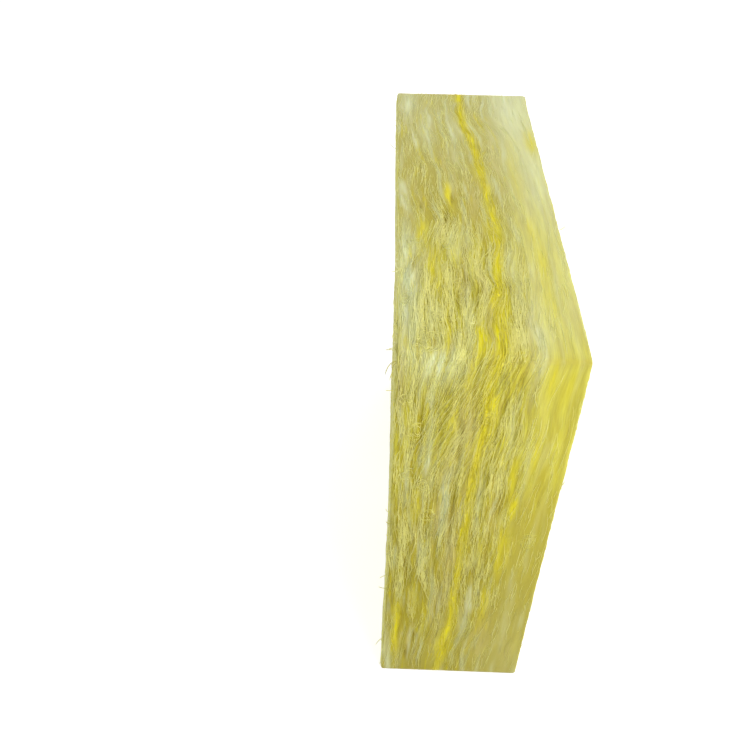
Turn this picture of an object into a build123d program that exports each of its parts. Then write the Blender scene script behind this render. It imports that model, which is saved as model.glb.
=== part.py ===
"""Slab of yellow glass wool insulation, cut by knife from the blanket of a roll and stood on a cut edge.

The fibre is laid down in layers, so a cut edge is not flat: each layer swells out a little and the wool
sinks in where two layers part. X runs across the layers, Y from the near cut edge to the far one, Z up.
The origin is at the middle of the edge that the slab stands on. Lengths are in millimetres.
"""

import os

from build123d import *

# Sizes of the slab
slab_thickness = 50.0
slab_depth = 160.0
slab_height = 155.0

# Where two cut edges meet, and where a cut edge meets a rolled face, the wool is soft and has this radius
cut_corner_radius = 2.0
face_edge_radius = 1.2

# Layers: how deep the wool sinks in at a parting, and how far the cut starts outside the cut edge
parting_depth = 0.9
cut_overrun = 0.4

# Where the layers part, as shares of the thickness counted from the -X face
parting_shares = (0.14, 0.31, 0.50, 0.66, 0.83)
# The part of a layer's width that rolls down into the parting beside it
roll_share = 0.42
# How far the roll of a layer bulges from a straight flank, as a share of the parting's depth
bulge_share = 0.22


def parting_places():
    """Each parting's place across the slab, with the width of the layer on either side of it."""
    edges = [0.0, *parting_shares, 1.0]
    places = [share * slab_thickness - slab_thickness / 2 for share in edges]
    for before, here, after in zip(places, places[1:], places[2:]):
        yield here, here - before, after - here


# The line that the partings follow: up the near edge, over the top and down the far edge
with BuildLine(Plane.YZ) as edge_path:
    FilletPolyline(
        (-slab_depth / 2, 0),
        (-slab_depth / 2, slab_height),
        (slab_depth / 2, slab_height),
        (slab_depth / 2, 0),
        radius=cut_corner_radius,
    )

with BuildPart() as wool_slab:
    # The cut outline, carried across the layers from one rolled face to the other
    with BuildSketch(Plane.YZ):
        with Locations((0, slab_height / 2)):
            RectangleRounded(slab_depth, slab_height, cut_corner_radius)
    extrude(amount=slab_thickness / 2, both=True)

    # The soft edges of both rolled faces
    rolled_faces = faces().filter_by(Axis.X).sort_by(Axis.X)
    fillet(rolled_faces.edges(), radius=face_edge_radius)

    # A parting between each pair of layers, cut where the wool rolls in from both sides
    with BuildSketch(Plane(origin=edge_path.line @ 0, x_dir=(1, 0, 0), z_dir=edge_path.line % 0)):
        for place, layer_before, layer_after in parting_places():
            root = (place, parting_depth)
            lip_before = (place - roll_share * layer_before, -cut_overrun)
            lip_after = (place + roll_share * layer_after, -cut_overrun)
            with BuildLine():
                SagittaArc(lip_before, root, bulge_share * parting_depth)
                SagittaArc(root, lip_after, bulge_share * parting_depth)
                Line(lip_after, lip_before)
            make_face()
    sweep(path=edge_path.line, mode=Mode.SUBTRACT)

wool_slab.part.label = "wool_slab"

os.makedirs("parts", exist_ok=True)
export_step(wool_slab.part, "parts/wool_slab.step")
print("wool_slab volume", round(wool_slab.part.volume), "mm3")
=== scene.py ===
"""Dresses a slab of glass wool: layered wool, strands combed along its cut edges, and felted rolled faces.

Lengths inside the functions are in millimetres, and meshes are written in metres. X runs across the layers.
A place on the cut edges is given by two numbers: x, and the run s along the edge. The run is zero at the near
top corner, grows along the top and down the far edge, and is negative down the near edge.
"""

import itertools

import bmesh
import bpy
import numpy as np
from mathutils import Matrix, Vector


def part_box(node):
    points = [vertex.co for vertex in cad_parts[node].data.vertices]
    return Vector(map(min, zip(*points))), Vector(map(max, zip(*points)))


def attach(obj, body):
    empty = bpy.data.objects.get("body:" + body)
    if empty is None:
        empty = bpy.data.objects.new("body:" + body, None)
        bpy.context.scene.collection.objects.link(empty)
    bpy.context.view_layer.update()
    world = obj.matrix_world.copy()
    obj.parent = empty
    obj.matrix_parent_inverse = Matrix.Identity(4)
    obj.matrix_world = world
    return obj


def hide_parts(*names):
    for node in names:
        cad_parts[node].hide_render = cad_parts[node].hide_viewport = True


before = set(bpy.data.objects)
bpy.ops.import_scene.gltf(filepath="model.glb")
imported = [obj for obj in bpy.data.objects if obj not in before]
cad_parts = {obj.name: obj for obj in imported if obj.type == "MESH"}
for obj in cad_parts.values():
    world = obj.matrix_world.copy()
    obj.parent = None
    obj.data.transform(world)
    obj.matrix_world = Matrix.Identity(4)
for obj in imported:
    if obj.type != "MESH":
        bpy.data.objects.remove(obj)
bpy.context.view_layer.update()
SLAB_LOW, SLAB_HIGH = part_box("wool_slab")

bl_info = {
    "name": "Glass Wool Slab",
    "version": (1, 0, 0),
    "blender": (4, 5, 0),
    "location": "View3D > Sidebar > Glass Wool",
    "description": "Dresses the slab with layered wool, laid strands and stray fibres, on a white stage",
    "category": "Object",
}

MM = 0.001
BODY = "root"
NODE = "wool_slab"

# The slab's sides in millimetres, and its middle
THICK, DEEP, TALL = (np.array(SLAB_HIGH) - np.array(SLAB_LOW)) / MM
MIDDLE = (np.array(SLAB_HIGH) + np.array(SLAB_LOW)) / (2 * MM)

# The run round the cut edges: from the middle of the base, up the near edge, over the top, down the far edge
# and back to the middle of the base, with the Y and Z of each turn
RUN_TURNS = np.array([-TALL - DEEP / 2, -TALL, 0, DEEP, DEEP + TALL, 1.5 * DEEP + TALL])
RUN_Y = np.array([0, -DEEP / 2, -DEEP / 2, DEEP / 2, DEEP / 2, 0])
RUN_Z = np.array([0, 0, TALL, TALL, 0, 0])

# The layer that holds the most binder wanders across the slab: its run, and its share of the thickness
BINDER_RUNS = (
    -235, -153, -140, -120, -96, -55, -37, -24, -17, -9, 2, 25, 43, 62, 92, 112, 135, 160, 210, 260, 315,
    395,
)
BINDER_SHARES = (
    0.42, 0.41, 0.42, 0.465, 0.46, 0.47, 0.485, 0.51, 0.49, 0.50, 0.54, 0.55, 0.59, 0.605, 0.57, 0.55,
    0.48, 0.47, 0.45, 0.43, 0.48, 0.44,
)
# How strongly the binder shows along that layer
BINDER_SHOW_RUNS = (
    -235, -153, -140, -125, -110, -70, -55, -38, -30, -24, -17, -12, -8, -2, 3, 10, 25, 32, 43, 58, 66,
    80, 112, 160, 200, 250, 315, 395,
)
BINDER_SHOWS = (
    0.5, 0.85, 0.95, 0.85, 0.75, 0.85, 0.85, 1.0, 0.9, 1.0, 1.0, 0.85, 0.35, 0.35, 0.8, 1.0, 1.0, 0.85,
    0.9, 0.9, 0.75, 0.95, 1.0, 0.95, 0.6, 0.8, 0.7, 0.5,
)

# Where layers part, as shares of the thickness. The parting at the middle is filled with binder
PARTING_SHARES = (0.14, 0.31, 0.66, 0.83)

# Soft spots on the cut edges: share of the thickness, run, half width, half length, strength
GOLDEN_SPOTS = (
    (0.79, 97, 1.8, 24, 0.22), (0.82, 59, 1.4, 9, 0.35), (0.85, 44, 2.4, 16, 0.35),
    (0.85, 26, 2.4, 12, 0.25), (0.81, -6, 1.6, 6, 0.55), (0.90, -10, 2.2, 12, 0.30),
    (0.96, 119, 2.4, 9, 0.50), (0.335, 80, 0.9, 8, 0.90), (0.36, 44, 1.2, 9, 0.45),
    (0.22, 40, 1.2, 12, 0.40), (0.13, 58, 1.3, 10, 0.50), (0.45, 10, 2.0, 8, 0.90),
    (0.56, 14, 1.8, 11, 0.95), (0.51, -15, 2.2, 7, 0.95), (0.52, -24, 2.0, 6, 0.95),
    (0.15, -60, 1.2, 6, 0.80), (0.74, -58, 1.2, 6, 0.80), (0.72, -78, 3.2, 13, 0.55),
    (0.67, -108, 1.5, 10, 0.60), (0.09, -126, 1.4, 20, 0.85), (0.19, -108, 1.1, 10, 0.45),
    (0.43, -139, 2.5, 10, 0.95), (0.30, -33, 0.9, 8, 0.35), (0.63, -34, 0.9, 10, 0.50),
    (0.80, -34, 1.1, 7, 0.55), (0.90, -48, 5.5, 40, 0.20), (0.70, -46, 1.4, 14, 0.45),
    (0.58, -80, 0.9, 12, 0.45), (0.28, -120, 1.0, 9, 0.45), (0.34, 215, 1.3, 14, 0.60),
    (0.70, 235, 1.6, 20, 0.55), (0.18, 270, 1.4, 16, 0.60), (0.60, 290, 2.2, 12, 0.70),
)
WHITE_SPOTS = (
    (0.09, 149, 3.0, 13, 0.60), (0.22, 130, 2.0, 16, 0.45), (0.93, 93, 3.6, 30, 0.22),
    (0.86, 140, 4.5, 16, 0.22), (0.06, 34, 3.8, 28, 1.00), (0.07, 7, 3.0, 12, 0.85),
    (0.22, -1, 6.5, 8, 0.85), (0.20, -36, 1.0, 11, 0.80), (0.33, -57, 1.3, 14, 0.95),
    (0.57, -107, 1.2, 9, 0.80), (0.15, 9, 3.6, 6, 0.50), (0.74, 8, 2.6, 16, 0.50),
    (0.65, -26, 1.0, 12, 0.45), (0.42, 118, 1.8, 18, 0.45), (0.66, 40, 1.6, 16, 0.45),
    (0.84, -122, 1.8, 14, 0.22), (0.24, -47, 0.9, 8, 0.40), (0.55, -122, 1.3, 9, 0.70),
    (0.02, -138, 1.2, 16, 0.55), (0.60, 80, 1.2, 14, 0.50), (0.22, 220, 2.4, 22, 0.60),
    (0.80, 265, 3.0, 26, 0.60), (0.45, 300, 1.6, 16, 0.60),
)
TAN_SPOTS = (
    (0.40, -25, 3.6, 11, 0.75), (0.33, -42, 2.6, 12, 0.60), (0.41, -85, 2.8, 16, 0.80),
    (0.45, -41, 2.0, 12, 0.55), (0.38, -108, 2.8, 14, 0.70), (0.72, 12, 2.4, 14, 0.65),
    (0.49, 78, 3.0, 14, 0.60), (0.63, -64, 2.0, 14, 0.45), (0.68, 110, 2.2, 18, 0.45),
    (0.70, -130, 3.0, 16, 0.50), (0.55, 225, 3.0, 20, 0.60), (0.30, 265, 2.6, 18, 0.60),
)
# Slits where the wool has opened: share of the thickness, run, half width, half length, depth
SLITS = (
    (0.35, 79, 0.50, 5, 1.5), (0.30, 66, 0.55, 4, 1.5), (0.16, 100, 0.45, 5, 0.6),
    (0.15, 74, 0.40, 4, 0.9), (0.22, -131, 0.45, 4, 1.5), (0.17, -143, 0.45, 4, 1.5),
    (0.45, -137, 0.45, 4, 1.4), (0.57, -89, 0.35, 5, 1.2), (0.49, -104, 0.35, 4, 1.0),
    (0.66, -57, 0.30, 4, 1.0), (0.37, -60, 0.30, 6, 1.0), (0.11, -88, 0.30, 5, 0.9),
    (0.30, 225, 0.50, 6, 1.4), (0.62, 260, 0.50, 6, 1.5), (0.20, 285, 0.45, 5, 1.3),
    (0.75, 200, 0.45, 6, 1.2),
)
# Fans of strands that lean across the layers: share of the thickness, run, half width, half length, lean
LEANS = (
    (0.28, -24, 8.0, 16, 0.34), (0.48, -10, 5.0, 10, 0.18), (0.62, -34, 8.0, 24, 0.12),
    (0.20, -110, 7.0, 26, -0.06), (0.30, 25, 6.0, 16, -0.12), (0.40, 215, 8.0, 20, 0.30),
    (0.65, 270, 8.0, 20, -0.25),
)
# Whorls, where a tuft has curled: share of the thickness, run, radius
WHORLS = (
    (0.17, 7, 3.4), (0.11, 4, 2.4), (0.33, 31, 2.4), (0.52, -21, 1.8), (0.13, -26, 2.4), (0.55, 28, 1.8),
    (0.24, -62, 2.2), (0.10, -44, 1.8), (0.87, -74, 2.4), (0.04, 24, 2.2), (0.22, 17, 2.0),
    (0.30, 52, 2.2), (0.10, 52, 2.2), (0.40, 15, 1.6), (0.18, -48, 2.0), (0.06, -14, 2.0),
    (0.35, 240, 3.4), (0.70, 205, 2.6),
)
# Where the soft slab has settled sideways: the side, share of the depth and height, reach, and shift along X
SETTLED = (
    (-1, 0.5, 0.5, 90, 1.55), (-1, 0.0, 1.0, 60, 0.95), (-1, 0.0, 0.0, 40, -0.80),
    (-1, 0.9, 1.0, 60, -1.20), (1, 1.0, 1.0, 70, -0.60), (1, 0.0, 1.0, 60, 0.55),
)
# Kinds of strand: length and width beside the usual ones, lift off the wool, tone, bow and tilt
BED = {"length": 0.75, "lift": (0.00, 0.07), "width": (0.50, 0.85), "tone": (0.40, 1.05), "bow": 0.30,
       "tilt": 0.07}
LOOSE = {"length": 1.15, "lift": (0.05, 0.29), "width": (0.60, 1.15), "tone": (1.00, 1.70), "bow": 0.45,
         "tilt": 0.09}
# Looks of the wool's surface and of single strands: how far streaks lighten it, light from within, and glint
SURFACE_LOOK = {"spread": 2.2, "soft_light": 0.40, "shine": 0.0}
STRAND_LOOK = {"spread": 0.5, "soft_light": 0.0, "shine": 1.0}
# Points that a strand is drawn through, its least height over the floor, and its step in the pattern
STRAND_POINTS = 6
FLOOR_GAP = 0.25
PATTERN_STEP = 0.37
# How far from the base laid strands start
BASE_GAP = 3
UV_MAP = "OFBake"
# Size of the table of directions behind the noise, and the large primes that pick from it
NOISE_TABLE = 4096
NOISE_PRIMES = (73856093, 19349663, 83492791)


def linear(hex_colour):
    """An sRGB hex colour as linear red, green and blue."""
    shares = [int(hex_colour[i:i + 2], 16) / 255 for i in (0, 2, 4)]
    return tuple(c / 12.92 if c <= 0.04045 else ((c + 0.055) / 1.055) ** 2.4 for c in shares)


class WoolShape(bpy.types.PropertyGroup):
    """Sizes of the wool."""

    corner_radius: bpy.props.FloatProperty(
        name="Cut corner", description="Radius where two cut edges meet", default=0.0012, unit="LENGTH")
    loose_radius: bpy.props.FloatProperty(
        name="Loose corner", description="Further radius of the near top corner where the wool lies loose",
        default=0.0030, unit="LENGTH")
    face_radius: bpy.props.FloatProperty(
        name="Face edge", description="Radius where a cut edge meets a rolled face",
        default=0.0010, unit="LENGTH")
    grid_across: bpy.props.FloatProperty(
        name="Grid across", description="Mesh spacing across the layers", default=0.0005, unit="LENGTH")
    grid_along: bpy.props.FloatProperty(
        name="Grid along", description="Mesh spacing along the layers", default=0.0014, unit="LENGTH")
    parting_depth: bpy.props.FloatProperty(
        name="Parting depth", description="How far the wool sinks in where layers part",
        default=0.0009, unit="LENGTH")
    strand_radius: bpy.props.FloatProperty(
        name="Strand radius", description="Half the width of a usual strand", default=0.0001, unit="LENGTH")
    strand_length: bpy.props.FloatProperty(
        name="Strand length", description="Length of a usual strand", default=0.010, unit="LENGTH")
    bed_per_edge: bpy.props.IntProperty(
        name="Strands on a cut edge", description="Strands that lie close on each cut edge", default=1700)
    loose_per_edge: bpy.props.IntProperty(
        name="Loose strands on a cut edge", description="Pale strands loose on each cut edge", default=1900)
    binder_strands: bpy.props.IntProperty(
        name="Binder strands", description="Strands along the layer that holds the most binder", default=480)
    whorl_strands: bpy.props.IntProperty(
        name="Strands in a whorl", description="Strands that curl round each whorl", default=26)
    bed_per_face: bpy.props.IntProperty(
        name="Strands on a rolled face", description="Strands felted onto each rolled face", default=3400)
    loose_per_face: bpy.props.IntProperty(
        name="Loose strands on a rolled face", description="Pale strands loose on each rolled face",
        default=1400)
    strays: bpy.props.IntProperty(
        name="Stray fibres", description="Fibres that stand off the corners", default=70)


class WoolColours(bpy.types.PropertyGroup):
    """Colours of the wool, from the deepest parting to the palest strand."""

    # Painted shade: the colour of wool in the shade deep in partings and hollows
    shaded_olive: bpy.props.FloatVectorProperty(
        name="Parting", description="Wool seen deep in a parting", subtype="COLOR", default=linear("B2980E"))
    yellow: bpy.props.FloatVectorProperty(
        name="Yellow", description="Wool between the strands", subtype="COLOR", default=linear("B2A41E"))
    straw: bpy.props.FloatVectorProperty(
        name="Straw", description="Most of the wool", subtype="COLOR", default=linear("DED749"))
    cream: bpy.props.FloatVectorProperty(
        name="Cream", description="The palest strands", subtype="COLOR", default=linear("FEF996"))
    golden: bpy.props.FloatVectorProperty(
        name="Golden", description="Wool that is rich in binder", subtype="COLOR", default=linear("F6EA10"))
    white: bpy.props.FloatVectorProperty(
        name="White", description="Fluffed wool with little binder", subtype="COLOR",
        default=linear("EEF5C6"))
    tan: bpy.props.FloatVectorProperty(
        name="Tan", description="Wool where the binder has browned", subtype="COLOR",
        default=linear("D8CA7E"))


class WoolStage(bpy.types.PropertyGroup):
    """Camera, light and floor."""

    lens: bpy.props.FloatProperty(
        name="Lens", description="Focal length on a 36 mm sensor, in millimetres", default=39.105)
    eye: bpy.props.FloatVectorProperty(
        name="Camera place", description="Where the camera stands", subtype="TRANSLATION",
        default=(-0.02440, -0.23331, 0.28695))
    pitch: bpy.props.FloatProperty(
        name="Pitch", description="How far the camera looks down", subtype="ANGLE",
        default=np.radians(42.024))
    roll: bpy.props.FloatProperty(
        name="Roll", description="How far the camera leans", subtype="ANGLE", default=np.radians(0.657))
    yaw: bpy.props.FloatProperty(
        name="Yaw", description="How far the camera turns to the right", subtype="ANGLE",
        default=np.radians(-1.615))
    floor_colour: bpy.props.FloatVectorProperty(
        name="Floor", description="Colour of the floor", subtype="COLOR", default=linear("D6D6D4"))
    floor_glow: bpy.props.FloatProperty(
        name="Floor glow", description="How far the floor is whitened for the camera", default=0.66)
    key_watts: bpy.props.FloatProperty(
        name="Key light", description="Power of the lamp in front", subtype="POWER", default=0.63)
    top_watts: bpy.props.FloatProperty(
        name="Top light", description="Power of the lamp above", subtype="POWER", default=0.31)
    side_watts: bpy.props.FloatProperty(
        name="Side light", description="Power of the lamp at the left", subtype="POWER", default=0.42)
    back_watts: bpy.props.FloatProperty(
        name="Back light", description="Power of the lamp behind", subtype="POWER", default=0.62)
    sky: bpy.props.FloatProperty(
        name="Sky", description="Strength of the even light from all round", default=0.56)


def smooth_noise(places, seed):
    """Smooth noise of about -1 to 1 for an array of places, with about one swell for each unit of length."""
    gradients = np.random.default_rng(seed).normal(size=(NOISE_TABLE, 3))
    gradients /= np.linalg.norm(gradients, axis=1)[:, None]
    cell = np.floor(places).astype(np.int64)
    part = places - cell
    ease = part ** 3 * (part * (part * 6 - 15) + 10)
    total = np.zeros(len(places))
    for corner in itertools.product((0, 1), repeat=3):
        at = cell + np.array(corner)
        index = np.bitwise_xor.reduce(at * np.array(NOISE_PRIMES), axis=1) & (NOISE_TABLE - 1)
        weight = np.prod(np.where(corner, ease, 1 - ease), axis=1)
        total += weight * np.sum(gradients[index] * (part - np.array(corner)), axis=1)
    return 1.6 * total


def streaks(x, s, wide, long, seed):
    """Noise stretched along the run: swells so far apart across the layers and so far apart along them."""
    return smooth_noise(np.stack([x / wide, s / long, np.zeros_like(x)], axis=1), seed)


def ramp(value, low, high):
    """A smooth step from 0 at low to 1 at high."""
    share = np.clip((value - low) / (high - low), 0, 1)
    return share * share * (3 - 2 * share)


def bell(gap, reach):
    """A soft hump that is 1 at no gap and fades past its reach."""
    return np.exp(-(gap / reach) ** 2)


def blot(gap_across, half_width, gap_along, half_length):
    """A soft spot with a half width across the layers and a half length along them."""
    return np.exp(-((gap_across / half_width) ** 2 + (gap_along / half_length) ** 2))


def across(share):
    """The x of a share of the thickness."""
    return (share - 0.5) * THICK


def along_run(s, runs, values):
    """A value that changes smoothly along the run, from a few given places."""
    reach = 7
    steps = np.arange(RUN_TURNS[0], RUN_TURNS[-1] + 1)
    window = np.hanning(2 * reach + 1)
    rough = np.interp(np.arange(steps[0] - reach, steps[-1] + reach + 1), runs, values)
    return np.interp(s, steps, np.convolve(rough, window / window.sum(), mode="valid"))


def density(x):
    """The share of the wool that is dense and smooth: all of it in the layers at the right."""
    return ramp(x / THICK + 0.5, 0.58, 0.84)


def inner(x):
    """How free the layers are to bend: not at all at the rolled faces."""
    return 1 - (2 * x / THICK) ** 4


def meander(x, s):
    """How far the layers bend to and fro, in waves that grow on the top and fade in the dense wool."""
    waves = 1.7 * streaks(x, s, 11.0, 19, 81) + 0.7 * streaks(x, s, 5.0, 8.5, 82)
    return waves * (0.45 + 0.75 * ramp(s, -5, 25)) * (1 - 0.7 * density(x)) * inner(x)


def binder_place(s):
    """The x of the layer that holds the most binder."""
    return across(along_run(s, BINDER_RUNS, BINDER_SHARES))


def binder_show(_, s):
    """How strongly the binder shows along that layer."""
    return along_run(s, BINDER_SHOW_RUNS, BINDER_SHOWS)


def layer_of(x, s):
    """Where a place lies among the layers: x, less the layers' wander and bends."""
    return x - binder_place(s) * inner(x) - meander(x, s)


def ragged(x, s):
    """How much of a patch of colour shows at each place: patches are ragged along their streaks."""
    return np.clip(0.85 + 0.8 * streaks(layer_of(x, s), s, 0.8, 12, 71), 0, 1.2)


def spots(x, s, places):
    """The strength at each place of a list of soft spots."""
    total = np.zeros_like(x)
    bent = x - meander(x, s)
    for share, run, half_width, half_length, strength in places:
        total = np.maximum(total, strength * blot(bent - across(share), half_width, s - run, half_length))
    return np.clip(total * ragged(x, s), 0, 1)


def run_places(x, s):
    """Places on the sharp-cornered slab for x and the run s."""
    return np.stack([x, np.interp(s, RUN_TURNS, RUN_Y), np.interp(s, RUN_TURNS, RUN_Z)], axis=1)


def run_of(places):
    """The run of places on the sharp-cornered slab, taken from the nearest cut edge."""
    y, z = places[:, 1], places[:, 2]
    gaps = np.stack([y + DEEP / 2, TALL - z, DEEP / 2 - y, z])
    base = np.where(y < 0, -TALL - (y + DEEP / 2), DEEP + TALL + (DEEP / 2 - y))
    runs = np.stack([z - TALL, y + DEEP / 2, DEEP + TALL - z, base])
    return np.take_along_axis(runs, gaps.argmin(axis=0)[None], axis=0)[0]


def soften(places, shape):
    """Rounds the sharp-cornered slab: the moved places and their outward directions."""
    half = np.array([THICK, DEEP, TALL]) / 2
    out = places - MIDDLE
    radii = np.array([shape.face_radius, shape.corner_radius, shape.corner_radius]) / MM
    radii = np.tile(radii, (len(places), 1))
    fades, full = half - 20, half - 10
    near_top = ramp(-out[:, 1], fades[1], full[1]) * ramp(out[:, 2], fades[2], full[2])
    radii[:, 1:] += (shape.loose_radius / MM * near_top * (1 - density(places[:, 0])))[:, None]
    core = np.clip(out, radii - half, half - radii)
    away = (out - core) / radii
    away /= np.linalg.norm(away, axis=1)[:, None]
    normal = away / radii
    normal /= np.linalg.norm(normal, axis=1)[:, None]
    return core + away * radii + MIDDLE, normal


def looseness(x, s):
    """The share of strands that lie loose: fewest in the dense layers and away from the near corner."""
    dense = 0.88 * density(x)
    low = 0.60 * ramp(-s, 80, 135) + 0.50 * ramp(s, 250, 300)
    top = 0.80 * ramp(s, 5, 90) * ramp(s, 210, 170)
    return (1 - dense) * (1 - low) * (1 - top)


def edge_relief(x, s, shape):
    """How far a cut edge stands proud of the flat: layers that swell and part, slits, and combed ridges."""
    layer = layer_of(x, s)
    rough = 0.25 + 0.75 * looseness(x, s)
    firm = 1 - 0.9 * ramp(x / THICK + 0.5, 0.52, 0.76)
    height = 0.36 * streaks(layer, s, 5.5, 45, 11) + 0.48 * rough * streaks(layer, s, 2.1, 21, 12)
    height += 0.40 * rough * streaks(layer, s, 0.95, 10, 13) - 0.05
    for number, share in enumerate(PARTING_SHARES):
        strays = 1.3 * streaks(np.full_like(s, 7.0 * number), s, 3.0, 26, 14)
        opens = ramp(streaks(np.full_like(s, 5.0 * number), s, 3.0, 34, 15), -0.25, 0.55)
        opens *= 1 - 0.75 * bell(s + 12, 24)
        height -= shape.parting_depth / MM * opens * firm * bell(layer - across(share) - strays, 0.8)
    for share, run, half_width, half_length, depth in SLITS:
        off = x - across(share) - 0.07 * (s - run)
        height -= 0.75 * depth * blot(off, half_width, s - run, half_length)
    # The knife leaves the corners straight
    corners = bell(s[:, None] - RUN_TURNS[1:5], 2.5) @ (0.9, 0.4, 0.9, 0.9)
    return height * (1 - corners) * (1 - 0.7 * ramp(np.abs(x), 0.40 * THICK, 0.5 * THICK))


def felt_swirl(places):
    """Places on a rolled face, shifted by the swirl that felting gives the wool."""
    return places + 5.0 * np.stack([smooth_noise(places / 22 + k * 9.0, 21 + k) for k in range(3)], axis=1)


def felt_relief(places):
    """How far a rolled face stands proud of the flat: the soft lumps and matted ridges of felted wool."""
    swirl = felt_swirl(places)
    lumps = 0.26 * smooth_noise(places / 13, 24) + 0.24 * smooth_noise(swirl / (4.0, 3.0, 9.0), 25)
    lumps += 0.18 * smooth_noise(swirl / (2.0, 1.5, 5.0), 26) - 0.05
    # The knife leaves the corners straight
    gap = np.minimum(DEEP / 2 - np.abs(places[:, 1]), TALL / 2 - np.abs(places[:, 2] - TALL / 2))
    return lumps * (0.3 + 0.7 * ramp(gap, 0, 6))


def settled(places):
    """How far the soft slab has settled along X at each place."""
    shift = np.zeros(len(places))
    for side, deep, tall, reach, amount in SETTLED:
        gap = np.hypot(places[:, 1] - (deep - 0.5) * DEEP, places[:, 2] - tall * TALL)
        shift += amount * bell(gap, reach) * np.clip(0.5 + side * places[:, 0] / THICK, 0, 1)
    return shift


def wool_surface(sharp, s, shape):
    """The wool's surface over the sharp-cornered slab: places, directions, relief and share of felt."""
    soft, normal = soften(sharp, shape)
    felt = ramp(np.abs(normal[:, 0]), 0.35, 0.9)
    relief = (1 - felt) * edge_relief(sharp[:, 0], s, shape) + felt * felt_relief(soft)
    # The base is pressed flat where the slab stands
    relief = np.where(normal[:, 2] < -0.5, np.clip(relief, -0.6, 0), relief)
    places = soft + normal * relief[:, None]
    places[:, 0] += settled(soft)
    return places, normal, relief, felt


def lowness(s, start, end):
    """How far down an upright cut edge each place is: 0 above one drop from the top, and 1 below another."""
    return ramp(np.abs(s - DEEP / 2) - DEEP / 2, start, end)


def golden_layer(x, s):
    """How strongly the layer with the most binder shows at each place: a ragged core in a faint halo."""
    width = 1.25 + 0.50 * streaks(np.zeros_like(x), s, 1.0, 11, 31)
    shows = binder_show(x, s) * (0.95 + 0.6 * streaks(x, s, 0.7, 9, 37))
    off = x - binder_place(s) - 0.55 * streaks(x, s, 3.0, 9, 32)
    halo = 0.40 * ramp(streaks(x, s, 6.0, 18, 36), -0.1, 0.6)
    return np.clip(shows * np.maximum(bell(off, width), halo * bell(off, 2.8)), 0, 1)


def wool_marks(sharp, s, felt, relief):
    """What colours the wool, from 0 to 1: binder, fluff, browned binder, combing, and painted shade in
    hollows.
    """
    x = sharp[:, 0]
    layer = layer_of(x, s)
    dense = density(x)
    flecks = ramp(streaks(layer, s, 1.6, 30, 33), 0.38, 0.80)
    specks = ramp(streaks(layer, s, 0.9, 12, 38), 0.42, 0.80)
    flecks = 0.45 * (1 - 0.75 * dense) * np.maximum(flecks, specks)
    binder = np.maximum.reduce([golden_layer(x, s), flecks, spots(x, s, GOLDEN_SPOTS)])
    wash = (0.27 + 0.09 * dense) * ramp(s, 40, 160) * ramp(s, 330, 200)
    wash += 0.06 * lowness(s, 112, 150)
    wash += dense * (0.09 + 0.23 * ramp(s, -14, 26) * ramp(s, 300, 160))
    tufts = np.maximum(1.25 * ramp(streaks(layer, s, 3.2, 34, 34), 0.22, 0.75),
                       ramp(streaks(layer, s, 1.4, 24, 39), 0.15, 0.65))
    patches = 0.48 * (1 - 0.6 * dense) * ragged(x, s)
    white = np.maximum(spots(x, s, WHITE_SPOTS), patches * tufts)
    white = np.clip(white + wash, 0, 1) * (1 - binder)
    browned = np.maximum(1.25 * ramp(streaks(layer, s, 3.6, 40, 35), 0.25, 0.75),
                         ramp(streaks(layer, s, 1.5, 24, 40), 0.25, 0.7))
    tan = np.maximum(spots(x, s, TAN_SPOTS), patches * browned)
    # A rolled face has faint clouds in place of streaks, drawn out along the swirl of its felt
    swirl = felt_swirl(sharp)
    large, small = swirl / (15.0, 9.0, 20.0), swirl / (5.0, 2.5, 7.0)
    cloud = [0.6 * smooth_noise(large, 43 + k) + 0.4 * smooth_noise(small, 46 + k) for k in range(3)]
    binder = (1 - felt) * binder + felt * 0.25 * ramp(cloud[0], -0.1, 0.6)
    white = (1 - felt) * white + felt * 0.45 * ramp(cloud[1], -0.3, 0.6)
    tan = (1 - felt) * tan + felt * 0.30 * ramp(cloud[2], 0.0, 0.6)
    combed = (1 - felt) * (0.25 + 0.75 * looseness(x, s)) + 0.6 * felt
    # Painted shade in the hollows, deepest where the relief sinks lowest
    hollow_shade = np.clip(-1.0 * (relief + 0.16), 0, 1) * (1 - 0.7 * binder) * (1 - 0.6 * white) * combed
    return {"binder": binder, "white": white, "tan": tan, "combed": combed, "hollow_shade": hollow_shade}


def wool_tone_and_painted_shade(x, s, felt, relief):
    """How light the wool is under its strands: palest on its ridges and where it is dense. Painted shade
    makes it darker towards the base, where less light falls, and at the dense end of the corners, against the
    light that the corners catch. A painted shadow of a neighbouring slab, which is not built, darkens the far
    left of the top."""
    dense = density(x)
    base = lowness(s, 20, 140)
    far = ramp(s, 40, 120) * ramp(s, 200, 165)
    corner = bell(s[:, None] - RUN_TURNS[2:4], 1.4).sum(axis=1)
    # Painted shade: darker towards the base, where less light falls
    edge = 0.18 + 0.04 * dense - (0.80 + 0.20 * dense) * base
    # Painted shadow of a neighbouring slab on the far left of the top, and painted shade at the dense corners
    edge = edge - far * (0.75 - 0.63 * dense) - 0.28 * corner * dense
    crests = 0.60 * np.clip(relief - 0.10, 0, 0.6) * looseness(x, s)
    return (1 - felt) * (edge + crests) + felt * 0.50


def write_marks(mesh, marks):
    """Keeps each mark on the mesh's vertices, as numbers or as vectors."""
    for name, values in marks.items():
        kind, field = ("FLOAT_VECTOR", "vector") if values.ndim == 2 else ("FLOAT", "value")
        attribute = mesh.attributes.new(name, kind, "POINT")
        attribute.data.foreach_set(field, values.astype(np.float32).ravel())


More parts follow.
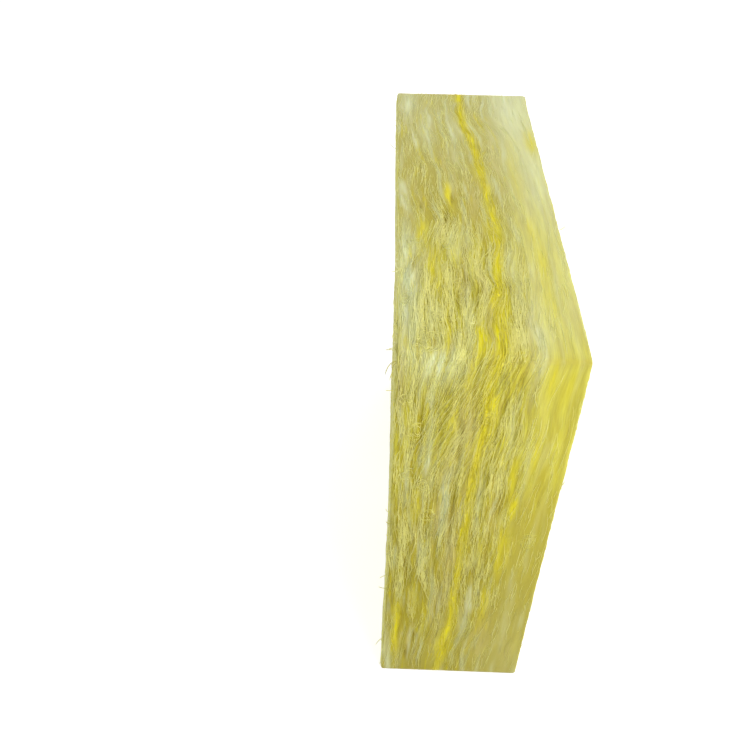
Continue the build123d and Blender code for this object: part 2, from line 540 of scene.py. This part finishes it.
def add_node(tree, kind, inputs, **settings):
    """Adds a shader node, with each input set to a value or linked from a socket, and with its settings."""
    made = tree.nodes.new("ShaderNode" + kind)
    for name, value in settings.items():
        setattr(made, name, value)
    for name, value in inputs.items():
        if isinstance(value, bpy.types.NodeSocket):
            tree.links.new(value, made.inputs[name])
        else:
            made.inputs[name].default_value = value
    return made


def empty_tree(owner):
    """The emptied node tree of a material or a world."""
    owner.use_nodes = True
    owner.node_tree.nodes.clear()
    return owner.node_tree


def glass_wool(name, colours, spread, soft_light, shine):
    """Glass wool, spun and blown into layers with a yellow binder: matt, streaked along its layers, deep
    yellow where the binder gathers, pale where strands lie loose, and softly lit from within. Spread is how
    far the streaks lighten and darken the wool, and shine how much of a glint single strands have."""
    # Width and length of each pattern's streaks, in millimetres, and how far across a swirl carries them
    streak_wide, streak_long = 0.30, 7.0
    band_wide, band_long = 2.4, 26.0
    wisp_wide, wisp_long, wisp_turn = 0.45, 4.5, 0.6
    swirl_wide, swirl_reach = 26.0, 30.0
    material = bpy.data.materials.new(name)
    tree = empty_tree(material)

    # Places among the layers, in millimetres, and marks kept on the mesh
    lay = add_node(tree, "Attribute", {}, attribute_name="lay").outputs["Vector"]
    mark = {key: add_node(tree, "Attribute", {}, attribute_name=key).outputs["Fac"]
            for key in ("binder", "white", "tan", "combed", "hollow_shade", "felt", "tone")}
    place = add_node(tree, "TexCoord", {}).outputs["Object"]

    # Streaks and bands along the layers of a cut edge, drawn wider than the real fibre so that they show
    fine = add_node(tree, "Mapping", {
        "Vector": lay, "Scale": (1 / streak_wide, 1 / streak_long, 1.0)}).outputs[0]
    streak = add_node(tree, "TexNoise", {
        "Vector": fine, "Scale": 1.0, "Detail": 3.0, "Roughness": 0.6, "Distortion": 0.35}).outputs["Fac"]
    broad = add_node(tree, "Mapping", {
        "Vector": lay, "Scale": (1 / band_wide, 1 / band_long, 0.0)}).outputs[0]
    band = add_node(tree, "TexNoise", {
        "Vector": broad, "Scale": 1.0, "Detail": 2.0, "Roughness": 0.5}).outputs["Fac"]

    # Wisps that swirl over a rolled face
    swirl = add_node(tree, "TexNoise", {
        "Vector": place, "Scale": 1 / (swirl_wide * MM), "Detail": 1.0}).outputs["Color"]
    bent = add_node(tree, "VectorMath", {
        0: swirl, 1: (swirl_reach * MM,) * 3, 2: place}, operation="MULTIPLY_ADD").outputs[0]
    combed = add_node(tree, "Mapping", {
        "Vector": bent, "Rotation": (wisp_turn, 0.0, 0.0),
        "Scale": (1 / MM, 1 / (wisp_wide * MM), 1 / (wisp_long * MM))}).outputs[0]
    wisp = add_node(tree, "TexNoise", {
        "Vector": combed, "Scale": 1.0, "Detail": 3.0, "Roughness": 0.6, "Distortion": 0.4}).outputs["Fac"]
    fibre = add_node(tree, "Mix", {
        "Factor": mark["felt"], "A": streak, "B": wisp}).outputs["Result"]

    # From yellow between the strands, through straw, to cream on the loose ones
    swing = add_node(tree, "MapRange", {
        "Value": fibre, "To Min": -0.5 * spread, "To Max": 0.5 * spread}).outputs["Result"]
    lit = add_node(tree, "Math", {
        0: swing, 1: mark["combed"], 2: mark["tone"]}, operation="MULTIPLY_ADD").outputs[0]
    level = add_node(tree, "Math", {
        0: band, 1: 0.95, 2: lit}, operation="MULTIPLY_ADD").outputs[0]
    share = add_node(tree, "MapRange", {
        "Value": level, "From Min": 0.475, "From Max": 1.475}).outputs["Result"]
    wool = add_node(tree, "ValToRGB", {"Fac": share})
    stops = wool.color_ramp.elements
    stops[0].color = (*colours.yellow, 1)
    stops[1].color = (*colours.cream, 1)
    stops.new(0.5).color = (*colours.straw, 1)
    colour = wool.outputs["Color"]

    # Browned, fluffed and binder-rich wool, and painted shade on wool deep in partings and hollows
    for key, tint, strength in (("tan", colours.tan, 0.80), ("white", colours.white, 0.90),
                                ("binder", colours.golden, 0.95), ("hollow_shade", colours.shaded_olive, 0.80)):
        amount = add_node(tree, "Math", {
            0: mark[key], 1: strength}, operation="MULTIPLY").outputs[0]
        colour = add_node(tree, "Mix", {
            "Factor": amount, 6: colour, 7: (*tint, 1)}, data_type="RGBA").outputs[2]

    rough = add_node(tree, "MapRange", {
        "Value": fibre, "From Min": 0.3, "From Max": 0.7, "To Min": 0.80 - 0.3 * shine,
        "To Max": 0.55 - 0.2 * shine}).outputs["Result"]
    bump = add_node(tree, "Bump", {
        "Height": fibre, "Strength": mark["combed"], "Distance": 0.25 * MM}).outputs["Normal"]
    shader = add_node(tree, "BsdfPrincipled", {
        "Base Color": colour, "Roughness": rough, "Normal": bump,
        "IOR": 1.5, "Specular IOR Level": 0.2 + 0.4 * shine,
        "Subsurface Weight": soft_light, "Subsurface Radius": (1.0, 0.85, 0.35), "Subsurface Scale": 1.2 * MM,
        "Sheen Weight": 0.05, "Sheen Roughness": 0.5})
    add_node(tree, "OutputMaterial", {"Surface": shader.outputs["BSDF"]})
    return material


def finish_piece(name, mesh, material):
    """Puts a finished mesh in the scene as a piece of the slab."""
    mesh.shade_smooth()
    mesh.materials.append(material)
    piece = bpy.data.objects.new(name, mesh)
    bpy.context.scene.collection.objects.link(piece)
    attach(piece, BODY)
    return piece


def cut_box(shape):
    """A box of the slab's size, cut into a grid that is finer across the layers than along them."""
    bm = bmesh.new()
    bmesh.ops.create_cube(bm, size=1.0)
    bmesh.ops.scale(bm, vec=(THICK, DEEP, TALL), verts=bm.verts)
    bmesh.ops.translate(bm, vec=MIDDLE, verts=bm.verts)
    spacing = (shape.grid_across / MM, shape.grid_along / MM, shape.grid_along / MM)
    for axis, (side, step) in enumerate(zip((THICK, DEEP, TALL), spacing)):
        run = [e for e in bm.edges if abs(e.verts[0].co[axis] - e.verts[1].co[axis]) > side / 2]
        bmesh.ops.subdivide_edges(bm, edges=run, cuts=round(side / step) - 1, use_grid_fill=True)
    return bm


def read(items, field, width, kind=float):
    """One field of a mesh's vertices, loops or faces, with a row for each."""
    values = np.zeros(width * len(items), kind)
    items.foreach_get(field, values)
    return values.reshape(-1, width)


def unfold_box(mesh):
    """Unfolds the box's sides into one map: the rolled faces in a row, and the cut edges in rows below it."""
    used = read(mesh.loops, "vertex_index", 1, np.int64)[:, 0]
    sizes = read(mesh.polygons, "loop_total", 1, np.int64)[:, 0]
    places = read(mesh.vertices, "co", 3)[used] - MIDDLE + np.array([THICK, DEEP, TALL]) / 2
    facing = np.repeat(read(mesh.polygons, "normal", 3), sizes, axis=0)
    gap = 2.0
    width = 2 * max(DEEP, TALL) + 3 * gap
    flat = np.zeros((len(used), 2))
    # Each pair of sides: the axis it faces, the axes that run across and up the map, and its row in the map
    rows = ((0, 1, 2, gap), (1, 2, 0, TALL + 2 * gap), (2, 1, 0, TALL + THICK + 3 * gap))
    for axis, right, up, row in rows:
        for sign, start in ((-1, gap), (1, width / 2 + gap / 2)):
            side = facing[:, axis] * sign > 0.5
            flat[side, 0] = start + places[side, right]
            flat[side, 1] = row + places[side, up]
    mesh.uv_layers.new(name=UV_MAP).data.foreach_set("uv", (flat / width).astype(np.float32).ravel())


def spindle():
    """One strand's shape, a closed three-sided spindle: each vertex's step along the strand and angle, which
    vertices are tips, and the faces."""
    bm = bmesh.new()
    bmesh.ops.create_cone(bm, cap_ends=True, cap_tris=True, segments=3, radius1=1, radius2=1, depth=1)
    long_edges = [e for e in bm.edges if abs(e.verts[0].co.z - e.verts[1].co.z) > 0.5]
    bmesh.ops.subdivide_edges(bm, edges=long_edges, cuts=STRAND_POINTS - 4)
    bmesh.ops.recalc_face_normals(bm, faces=bm.faces)
    bm.verts.index_update()
    tips = np.array([v.co.xy.length < 0.5 for v in bm.verts])
    heights = np.array([v.co.z for v in bm.verts])
    angles = np.array([np.arctan2(v.co.y, v.co.x) for v in bm.verts])
    ends = np.where(heights < 0, 0, STRAND_POINTS - 1)
    steps = np.where(tips, ends, np.rint(1 + (heights + 0.5) * (STRAND_POINTS - 3))).astype(int)
    faces = [[v.index for v in f.verts] for f in bm.faces]
    bm.free()
    return steps, angles, tips, faces


def unit(vectors):
    """The same directions with a length of one."""
    return vectors / np.maximum(np.linalg.norm(vectors, axis=-1, keepdims=True), 1e-9)


def strand_mesh(name, paths, sideways, radii, marks):
    """Joins one spindle for each path into a mesh, with each strand's marks and a map of its own."""
    steps, angles, tips, faces = spindle()
    count, corners = len(paths), len(steps)
    ahead = unit(np.gradient(paths, axis=1))
    side = unit(np.cross(ahead, sideways[:, None, :]))
    rise = np.cross(side, ahead)
    reach = np.where(tips, 0, 1)[None, :, None] * radii[:, None, None]
    turn = np.cos(angles)[None, :, None] * side[:, steps] + np.sin(angles)[None, :, None] * rise[:, steps]
    places = (paths[:, steps] + reach * turn) * MM

    loops = np.concatenate(faces)
    sizes = np.tile([len(f) for f in faces], count)
    mesh = bpy.data.meshes.new(name)
    mesh.vertices.add(count * corners)
    mesh.vertices.foreach_set("co", places.astype(np.float32).ravel())
    mesh.loops.add(count * len(loops))
    mesh.loops.foreach_set("vertex_index", (loops[None] + corners * np.arange(count)[:, None]).ravel())
    mesh.polygons.add(len(sizes))
    mesh.polygons.foreach_set("loop_start", np.concatenate([[0], np.cumsum(sizes)[:-1]]))
    mesh.update(calc_edges=True)

    # Each strand has a cell of the map: its steps run across the cell, and its three sides up it
    third = np.rint(np.mod(angles, 2 * np.pi) / (2 * np.pi / 3)).astype(int) % 3
    cell_map = []
    for face in faces:
        ring = [v for v in face if not tips[v]]
        wraps = {0, 2} <= {int(third[v]) for v in ring}
        up = {v: 3 if wraps and third[v] == 0 else int(third[v]) for v in ring}
        middle = sum(set(up.values())) / len(set(up.values()))
        cell_map += [(steps[v] / (STRAND_POINTS - 1), up.get(v, middle) / 3) for v in face]
    rows = int(np.ceil(np.sqrt(count)))
    cell = np.stack([np.arange(count) % rows, np.arange(count) // rows], axis=1)
    flat = (cell[:, None, :] + 0.1 + 0.8 * np.array(cell_map)[None]) / rows
    mesh.uv_layers.new(name=UV_MAP).data.foreach_set("uv", flat.astype(np.float32).ravel())
    write_marks(mesh, {key: np.repeat(values, corners, axis=0) for key, values in marks.items()})
    return mesh


def strand_marks(x, s, tone, dice):
    """The marks of strands that lie on the wool at x and s, each with a tone of its own."""
    sharp = run_places(x, s)
    none = np.zeros(len(x))
    marks = wool_marks(sharp, s, none, none)
    marks["hollow_shade"] = none
    marks["binder"] = np.clip(marks["binder"] * dice.uniform(0.6, 1.1, len(x)), 0, 1)
    marks["felt"] = none
    marks["tone"] = tone
    marks["lay"] = np.stack([layer_of(x, s), s, np.arange(len(x)) * PATTERN_STEP], axis=1)
    return marks


def finish_strands(name, paths, up, radii, marks, material):
    """Keeps strands above the floor and puts them in the scene as one piece."""
    paths[:, :, 2] = np.maximum(paths[:, :, 2], FLOOR_GAP)
    finish_piece(name, strand_mesh(name, paths, up, radii, marks), material)


def strand_glass(name, context):
    """The glass wool of single strands."""
    return glass_wool(name, context.scene.wool_colours, **STRAND_LOOK)


def drape(places_x, runs, height, shape):
    """Paths at a height over the cut edges, and each path's outward direction at its middle."""
    edge = THICK / 2 - 0.15
    runs = runs.ravel()
    sharp = run_places(np.clip(places_x, -edge, edge).ravel(), runs)
    surface, normal, _, _ = wool_surface(sharp, runs, shape)
    # A strand stands off a little where it bends over a corner, so that its straight stretches clear the wool
    bend = 0.12 * bell(runs - RUN_TURNS[2], 3.0) * (1 - 0.7 * density(sharp[:, 0]))
    paths = (surface + normal * (height.ravel() + bend)[:, None]).reshape(-1, STRAND_POINTS, 3)
    return paths, normal.reshape(-1, STRAND_POINTS, 3)[:, 2]


def laid_paths(x, s, length, lean, bow, lift, dice, shape):
    """Paths of strands laid on a cut edge: each keeps to its layer, leans, bows sideways and dips in at its
    ends. Some have an end that stands up."""
    t = np.linspace(-0.5, 0.5, STRAND_POINTS)[None]
    runs = s[:, None] + length[:, None] * t
    drift = binder_place(runs.ravel()).reshape(runs.shape)
    drift = drift * inner(x)[:, None] + meander(np.repeat(x, STRAND_POINTS), runs.ravel()).reshape(runs.shape)
    sway = bow[:, None] * (1 - 4 * t * t) + lean[:, None] * length[:, None] * t
    wave = dice.uniform(0, 2 * np.pi, (len(x), 1))
    sway = sway + dice.uniform(0.02, 0.21, (len(x), 1)) * np.sin(wave + 8.5 * t)
    places_x = x[:, None] + drift - drift.mean(axis=1, keepdims=True) + sway
    flick = np.where(dice.random(len(x)) < 0.25, 1.6 * lift, 0) * dice.choice((-1, 1), len(x))
    end = np.clip(2 * t * np.sign(flick)[:, None], 0, 1) ** 2 * np.abs(flick)[:, None]
    height = lift[:, None] * (1 - 4 * t * t) - 0.08 * (4 * t * t) ** 2 + end
    return drape(places_x, runs, height, shape)


def leaning(x, s, tilt, dice):
    """How far strands lean across the layers for each length along them: gentle waves, and a few fans."""
    lean = 0.10 * streaks(x, s, 13.0, 30, 41) + dice.normal(0, tilt, len(x))
    for share, run, half_width, half_length, slope in LEANS:
        lean += slope * blot(x - across(share), half_width, s - run, half_length)
    return lean


def scatter(runs, count, dice, chance):
    """So many places between two runs, taken more often where the chance is greater."""
    found = np.zeros((0, 2))
    while len(found) < count:
        tries = np.stack([across(dice.uniform(0.006, 0.994, count)), dice.uniform(*runs, count)], axis=1)
        found = np.concatenate([found, tries[dice.random(count) < chance(tries[:, 0], tries[:, 1])]])
    return found[:count, 0], found[:count, 1]


def cleared(x, s):
    """Where strands are wanted: few over the golden layer, the white fluff and the near corner."""
    golden = np.maximum(golden_layer(x, s), spots(x, s, GOLDEN_SPOTS))
    kept = (1 - 0.8 * golden) * (1 - 0.65 * spots(x, s, WHITE_SPOTS))
    return kept * (1 - 0.9 * density(x) * bell(s, 9)) * (1 - 0.45 * bell(s - 1, 6))


def close_lying(x, s):
    """The chance of a strand that lies close: fewer where the wool is dense and smooth."""
    return (0.05 + 0.95 * looseness(x, s)) * cleared(x, s)


def clumped(x, s):
    """The chance of a loose strand: they lie in clumps."""
    return looseness(x, s) * ramp(streaks(x, s, 2.4, 13, 42), -0.25, 0.50) * cleared(x, s)


def lay_edge(name, runs, count, chance, kind, seed, shape, material):
    """Lays strands of one kind along one cut edge, between two runs."""
    dice = np.random.default_rng(seed)
    x, s = scatter(runs, count, dice, chance)
    usual = kind["length"] * shape.strand_length / MM
    length = np.clip(usual * dice.lognormal(-0.05, 0.50, count), 0.3 * usual, 2.6 * usual)
    s = np.clip(s, length / 2 - TALL, DEEP + TALL - length / 2)
    loose = looseness(x, s)
    lift = dice.uniform(*kind["lift"], count) * (0.3 + 0.7 * loose) * (1 - 0.5 * bell(s - 1, 7))
    bow = dice.normal(0, kind["bow"], count)
    paths, up = laid_paths(x, s, length, leaning(x, s, kind["tilt"], dice), bow, lift, dice, shape)
    radii = shape.strand_radius / MM * dice.uniform(*kind["width"], count)
    tone = np.maximum(dice.uniform(*kind["tone"], count), 0.5 - 0.5 * loose)
    # Painted shade round the near corner, against the light it catches, and towards the base; duller in
    # patches too
    tone -= 0.45 * bell(s - 1, 5) * (1 - spots(x, s, WHITE_SPOTS)) + 0.55 * lowness(s, 40, 140)
    tone -= 0.62 * ramp(streaks(x, s, 4.5, 20, 44), 0.05, 0.50) * loose
    marks = strand_marks(x, s, tone, dice)
    finish_strands(name, paths, up, radii, marks, material)


class WOOL_OT_slab(bpy.types.Operator):
    """Model the slab's wool, with its swelling layers, partings and slits"""

    bl_idname = "wool.slab"
    bl_label = "Wool slab"

    def execute(self, context):
        shape, colours = context.scene.wool_shape, context.scene.wool_colours
        mesh = bpy.data.meshes.new("wool_layers")
        bm = cut_box(shape)
        bm.to_mesh(mesh)
        bm.free()
        unfold_box(mesh)
        sharp = read(mesh.vertices, "co", 3)
        s = run_of(sharp)
        places, _, relief, felt = wool_surface(sharp, s, shape)
        mesh.vertices.foreach_set("co", (places * MM).astype(np.float32).ravel())
        mesh.update()
        marks = wool_marks(sharp, s, felt, relief)
        marks["felt"] = felt
        marks["tone"] = wool_tone_and_painted_shade(sharp[:, 0], s, felt, relief)
        marks["lay"] = np.stack([layer_of(sharp[:, 0], s), s, np.zeros_like(s)], axis=1)
        write_marks(mesh, marks)
        piece = finish_piece("wool_layers", mesh, glass_wool("glass_wool_layered", colours, **SURFACE_LOOK))
        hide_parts(NODE)
        return {"FINISHED"}


class WOOL_OT_laid_strands(bpy.types.Operator):
    """Lay strands along the cut edges"""

    bl_idname = "wool.laid_strands"
    bl_label = "Laid strands"

    def execute(self, context):
        shape = context.scene.wool_shape
        material = strand_glass("glass_fibre_strand", context)
        edges = (("near", (-TALL + BASE_GAP, 1)), ("top", (-1, DEEP + 1)),
                 ("far", (DEEP - 1, DEEP + TALL - BASE_GAP)))
        kinds = (("bed", shape.bed_per_edge, close_lying, BED, 101),
                 ("loose", shape.loose_per_edge, clumped, LOOSE, 111))
        for number, (edge, runs) in enumerate(edges):
            for name, count, chance, kind, seed in kinds:
                lay_edge(f"{edge}_edge_{name}", runs, count, chance, kind, seed + number, shape, material)
        return {"FINISHED"}


class WOOL_OT_binder_strands(bpy.types.Operator):
    """Lay golden strands along the layer that holds the most binder"""

    bl_idname = "wool.binder_strands"
    bl_label = "Binder strands"

    def execute(self, context):
        shape = context.scene.wool_shape
        dice = np.random.default_rng(131)
        count = shape.binder_strands
        _, s = scatter((-TALL + BASE_GAP, DEEP + TALL - BASE_GAP), count, dice, binder_show)
        x = binder_place(s) + dice.normal(0, 0.85, count)
        length = 0.9 * shape.strand_length / MM * dice.lognormal(0, 0.35, count)
        lift = dice.uniform(0.05, 0.32, count)
        lean = dice.normal(0, 0.05, count)
        paths, up = laid_paths(x, s, length, lean, dice.normal(0, 0.25, count), lift, dice, shape)
        marks = strand_marks(x, s, dice.uniform(0.9, 1.5, count), dice)
        marks["binder"] = dice.uniform(0.65, 1.0, count)
        radii = shape.strand_radius / MM * dice.uniform(0.7, 1.2, count)
        material = strand_glass("glass_fibre_binder", context)
        finish_strands("binder_strands", paths, up, radii, marks, material)
        return {"FINISHED"}


class WOOL_OT_whorls(bpy.types.Operator):
    """Curl tufts of strands into whorls"""

    bl_idname = "wool.whorls"
    bl_label = "Whorls"

    def execute(self, context):
        shape = context.scene.wool_shape
        dice = np.random.default_rng(141)
        share, run, radius = np.repeat(np.array(WHORLS), shape.whorl_strands, axis=0).T
        count = len(share)
        start = np.repeat(dice.uniform(0, 2 * np.pi, len(WHORLS)), shape.whorl_strands)
        start = start + dice.normal(0, 1.6, count)
        sweep = dice.uniform(0.9, 2.2, count)
        reach = radius * np.sqrt(dice.uniform(0.06, 1, count))
        t = np.linspace(0, 1, STRAND_POINTS)[None]
        angle = start[:, None] + sweep[:, None] * t
        grow = reach[:, None] * (1 + dice.normal(0, 0.3, (count, 1)) * (t - 0.5))
        x = across(share) + dice.normal(0, 0.2, count) * radius
        s = run + dice.normal(0, 0.3, count) * radius
        lift = dice.uniform(0.05, 0.40, count) * (0.2 + 0.8 * looseness(x, s))
        height = lift[:, None] * (1 - (2 * t - 1) ** 4) - 0.05
        places_x, runs = x[:, None] + grow * np.cos(angle), s[:, None] + 1.35 * grow * np.sin(angle)
        paths, up = drape(places_x, runs, height, shape)
        marks = strand_marks(x, s, dice.uniform(0.7, 1.4, count) * (0.3 + 0.7 * looseness(x, s)), dice)
        radii = shape.strand_radius / MM * dice.uniform(0.6, 1.05, count)
        material = strand_glass("glass_fibre_curled", context)
        finish_strands("whorl_strands", paths, up, radii, marks, material)
        return {"FINISHED"}


class WOOL_OT_felted_strands(bpy.types.Operator):
    """Felt strands onto the two rolled faces"""

    bl_idname = "wool.felted_strands"
    bl_label = "Felted strands"

    def execute(self, context):
        shape = context.scene.wool_shape
        material = strand_glass("glass_fibre_felt", context)
        for name, side, seed in (("left_face", -1, 151), ("right_face", 1, 161)):
            self.felt_face(name + "_bed", side, shape.bed_per_face, BED, seed, shape, material)
            self.felt_face(name + "_loose", side, shape.loose_per_face, LOOSE, seed + 1, shape, material)
        return {"FINISHED"}

    def felt_face(self, name, side, count, kind, seed, shape, material):
        """Strands of one kind that swirl over one rolled face."""
        dice = np.random.default_rng(seed)
        y = dice.uniform(-0.495, 0.495, count) * DEEP
        z = dice.uniform(0.008, 0.992, count) * TALL
        x = np.full(count, side * THICK / 2)
        centre = np.stack([x, y, z], axis=1)
        turn = 2.6 * smooth_noise(centre / 34, 51) + dice.normal(0, 0.45, count)
        curl = dice.normal(0, 0.9, count)
        usual = 1.3 * kind["length"] * shape.strand_length / MM
        length = np.clip(usual * dice.lognormal(0, 0.45, count), 4, 26)
        t = np.linspace(-0.5, 0.5, STRAND_POINTS)[None]
        heading = turn[:, None] + curl[:, None] * t
        step = length[:, None] / (STRAND_POINTS - 1)
        walk_y = np.cumsum(np.cos(heading), axis=1) * step
        walk_z = np.cumsum(np.sin(heading), axis=1) * step
        place_y = y[:, None] + walk_y - walk_y.mean(axis=1, keepdims=True)
        place_z = z[:, None] + walk_z - walk_z.mean(axis=1, keepdims=True)
        sharp = np.stack([np.repeat(x, STRAND_POINTS), np.clip(place_y, -DEEP / 2, DEEP / 2).ravel(),
                          np.clip(place_z, 0.3, TALL).ravel()], axis=1)
        surface, normal, _, _ = wool_surface(sharp, run_of(sharp), shape)
        lift = 0.45 * dice.uniform(*kind["lift"], count)[:, None] * (1 - 4 * t * t) - 0.08 * (4 * t * t) ** 2
        normal = normal.reshape(count, STRAND_POINTS, 3)
        paths = surface.reshape(count, STRAND_POINTS, 3) + normal * lift[:, :, None]
        marks = wool_marks(centre, run_of(centre), np.ones(count), np.zeros(count))
        marks["hollow_shade"] = np.zeros(count)
        marks["felt"] = np.zeros(count)
        marks["tone"] = dice.uniform(*kind["tone"], count)
        marks["lay"] = np.stack([y, z, np.arange(count) * PATTERN_STEP], axis=1)
        radii = shape.strand_radius / MM * dice.uniform(*kind["width"], count)
        finish_strands(name, paths, normal[:, 2], radii, marks, material)


class WOOL_OT_strays(bpy.types.Operator):
    """Let a few fibres stand off the long corners"""

    bl_idname = "wool.strays"
    bl_label = "Stray fibres"

    def execute(self, context):
        shape = context.scene.wool_shape
        dice = np.random.default_rng(171)
        count = shape.strays
        side = np.where(dice.random(count) < 0.92, -1.0, 1.0)
        s = dice.uniform(-TALL + 4, DEEP + TALL - 4, count)
        s = np.where((dice.random(count) < 0.3) & (side < 0), dice.normal(0, 16, count), s)
        x = side * (THICK / 2 - 0.2)
        sharp = run_places(x, s)
        start, normal, _, _ = wool_surface(sharp, s, shape)
        along = unit(run_places(x, s + 0.5) - run_places(x, s - 0.5))
        out = unit(normal + np.stack([1.2 * side, 0 * s, 0 * s], axis=1))
        heading = unit(along * dice.normal(0, 1, (count, 1)) + out * dice.uniform(0.15, 0.9, (count, 1)))
        bend = along * dice.normal(0, 0.5, (count, 1)) - out * dice.uniform(0.1, 0.6, (count, 1))
        length = dice.uniform(1.2, 5.0, count)[:, None, None]
        t = np.linspace(0, 1, STRAND_POINTS)[None, :, None]
        paths = start[:, None] + length * (heading[:, None] * t + bend[:, None] * t * t)
        paths = paths - 0.1 * normal[:, None] * (1 - t)
        marks = strand_marks(x, s, dice.uniform(0.2, 0.7, count), dice)
        radii = shape.strand_radius / MM * dice.uniform(1.0, 1.35, count)
        sideways = unit(np.cross(heading, along) + 0.01)
        material = strand_glass("glass_fibre_stray", context)
        finish_strands("stray_fibres", paths, sideways, radii, marks, material)
        return {"FINISHED"}


class WOOL_OT_stage(bpy.types.Operator):
    """Set up the white floor, soft light and camera"""

    bl_idname = "wool.stage"
    bl_label = "White stage"

    def execute(self, context):
        stage = context.scene.wool_stage
        self.lay_floor(stage)
        self.hang_lights(stage)
        self.place_camera(context.scene, stage)
        context.scene.view_settings.view_transform = "Standard"
        return {"FINISHED"}

    def seen(self, tree):
        """A socket that is 1 for what the camera sees, straight or mirrored, and 0 for light on the wool."""
        path = add_node(tree, "LightPath", {})
        rays = {0: path.outputs["Is Camera Ray"], 1: path.outputs["Is Glossy Ray"]}
        return add_node(tree, "Math", rays, operation="MAXIMUM").outputs[0]

    def lay_floor(self, stage):
        """A white floor that looks white to the camera and still takes the slab's shadow."""
        bm = bmesh.new()
        bmesh.ops.create_grid(bm, x_segments=1, y_segments=1, size=6.0)
        mesh = bpy.data.meshes.new("floor")
        bm.to_mesh(mesh)
        bm.free()
        floor = bpy.data.objects.new("floor", mesh)
        bpy.context.scene.collection.objects.link(floor)
        material = bpy.data.materials.new("floor_white_paint")
        tree = empty_tree(material)
        lift = add_node(tree, "Math", {
            0: self.seen(tree), 1: stage.floor_glow}, operation="MULTIPLY").outputs[0]
        shader = add_node(tree, "BsdfPrincipled", {
            "Base Color": (*stage.floor_colour, 1), "Roughness": 0.9, "Specular IOR Level": 0.0,
            "Emission Color": (1, 1, 1, 1), "Emission Strength": lift})
        add_node(tree, "OutputMaterial", {"Surface": shader.outputs["BSDF"]})
        mesh.materials.append(material)

    def hang_lights(self, stage):
        """Soft lamps in front, above, at the left and behind, and even light from all round."""
        # Each lamp: its power, the length of its side, and its place
        lamps = (("key_lamp", stage.key_watts, 0.21, (0.16, -0.31, 0.26)),
                 ("top_lamp", stage.top_watts, 0.30, (0.14, -0.04, 0.45)),
                 ("side_lamp", stage.side_watts, 0.40, (-0.50, -0.04, 0.26)),
                 ("back_lamp", stage.back_watts, 0.40, (0.05, 0.55, 0.20)))
        for name, watts, size, place in lamps:
            data = bpy.data.lights.new(name, "AREA")
            data.energy = watts
            data.size = size
            lamp = bpy.data.objects.new(name, data)
            aim = Vector(place) - Vector(MIDDLE * MM)
            lamp.rotation_euler = aim.to_track_quat("Z", "Y").to_euler()
            lamp.location = place
            bpy.context.scene.collection.objects.link(lamp)
        world = bpy.data.worlds.new("white_room")
        bpy.context.scene.world = world
        tree = empty_tree(world)
        strength = add_node(tree, "MapRange", {
            "Value": self.seen(tree), "To Min": stage.sky, "To Max": 1.0}).outputs["Result"]
        light = add_node(tree, "Background", {"Color": (1, 1, 1, 1), "Strength": strength})
        add_node(tree, "OutputWorld", {"Surface": light.outputs["Background"]})

    def place_camera(self, scene, stage):
        """A camera that looks down on the slab's near top corner, as a hand-held one does."""
        data = bpy.data.cameras.new("camera")
        data.lens = stage.lens
        data.clip_start = 0.01
        camera = bpy.data.objects.new("camera", data)
        heading = Matrix.Rotation(-stage.yaw, 4, "Z") @ Matrix.Rotation(np.pi / 2 - stage.pitch, 4, "X")
        camera.matrix_world = Matrix.Translation(stage.eye) @ heading @ Matrix.Rotation(stage.roll, 4, "Z")
        scene.collection.objects.link(camera)
        scene.camera = camera


class WOOL_PT_panel(bpy.types.Panel):
    """Lists the slab's pieces and settings"""

    bl_idname = "WOOL_PT_panel"
    bl_label = "Glass wool slab"
    bl_space_type = "VIEW_3D"
    bl_region_type = "UI"
    bl_category = "Glass Wool"

    def draw(self, context):
        for operator in OPERATORS:
            self.layout.operator(operator.bl_idname)
        for settings in (context.scene.wool_shape, context.scene.wool_colours, context.scene.wool_stage):
            box = self.layout.box()
            for name in settings.__annotations__:
                box.prop(settings, name)


OPERATORS = (WOOL_OT_slab, WOOL_OT_laid_strands, WOOL_OT_binder_strands, WOOL_OT_whorls,
             WOOL_OT_felted_strands, WOOL_OT_strays, WOOL_OT_stage)
SETTINGS = {"wool_shape": WoolShape, "wool_colours": WoolColours, "wool_stage": WoolStage}


def register():
    for group in (*SETTINGS.values(), *OPERATORS, WOOL_PT_panel):
        bpy.utils.register_class(group)
    for name, group in SETTINGS.items():
        setattr(bpy.types.Scene, name, bpy.props.PointerProperty(type=group))


def unregister():
    for name in SETTINGS:
        delattr(bpy.types.Scene, name)
    for group in (WOOL_PT_panel, *reversed(OPERATORS), *reversed(SETTINGS.values())):
        bpy.utils.unregister_class(group)


def main():
    """Makes every piece and the stage."""
    register()
    bpy.ops.wool.slab()
    bpy.ops.wool.laid_strands()
    bpy.ops.wool.binder_strands()
    bpy.ops.wool.whorls()
    bpy.ops.wool.felted_strands()
    bpy.ops.wool.strays()
    bpy.ops.wool.stage()
    bpy.context.view_layer.update()


if __name__ == "__main__":
    main()
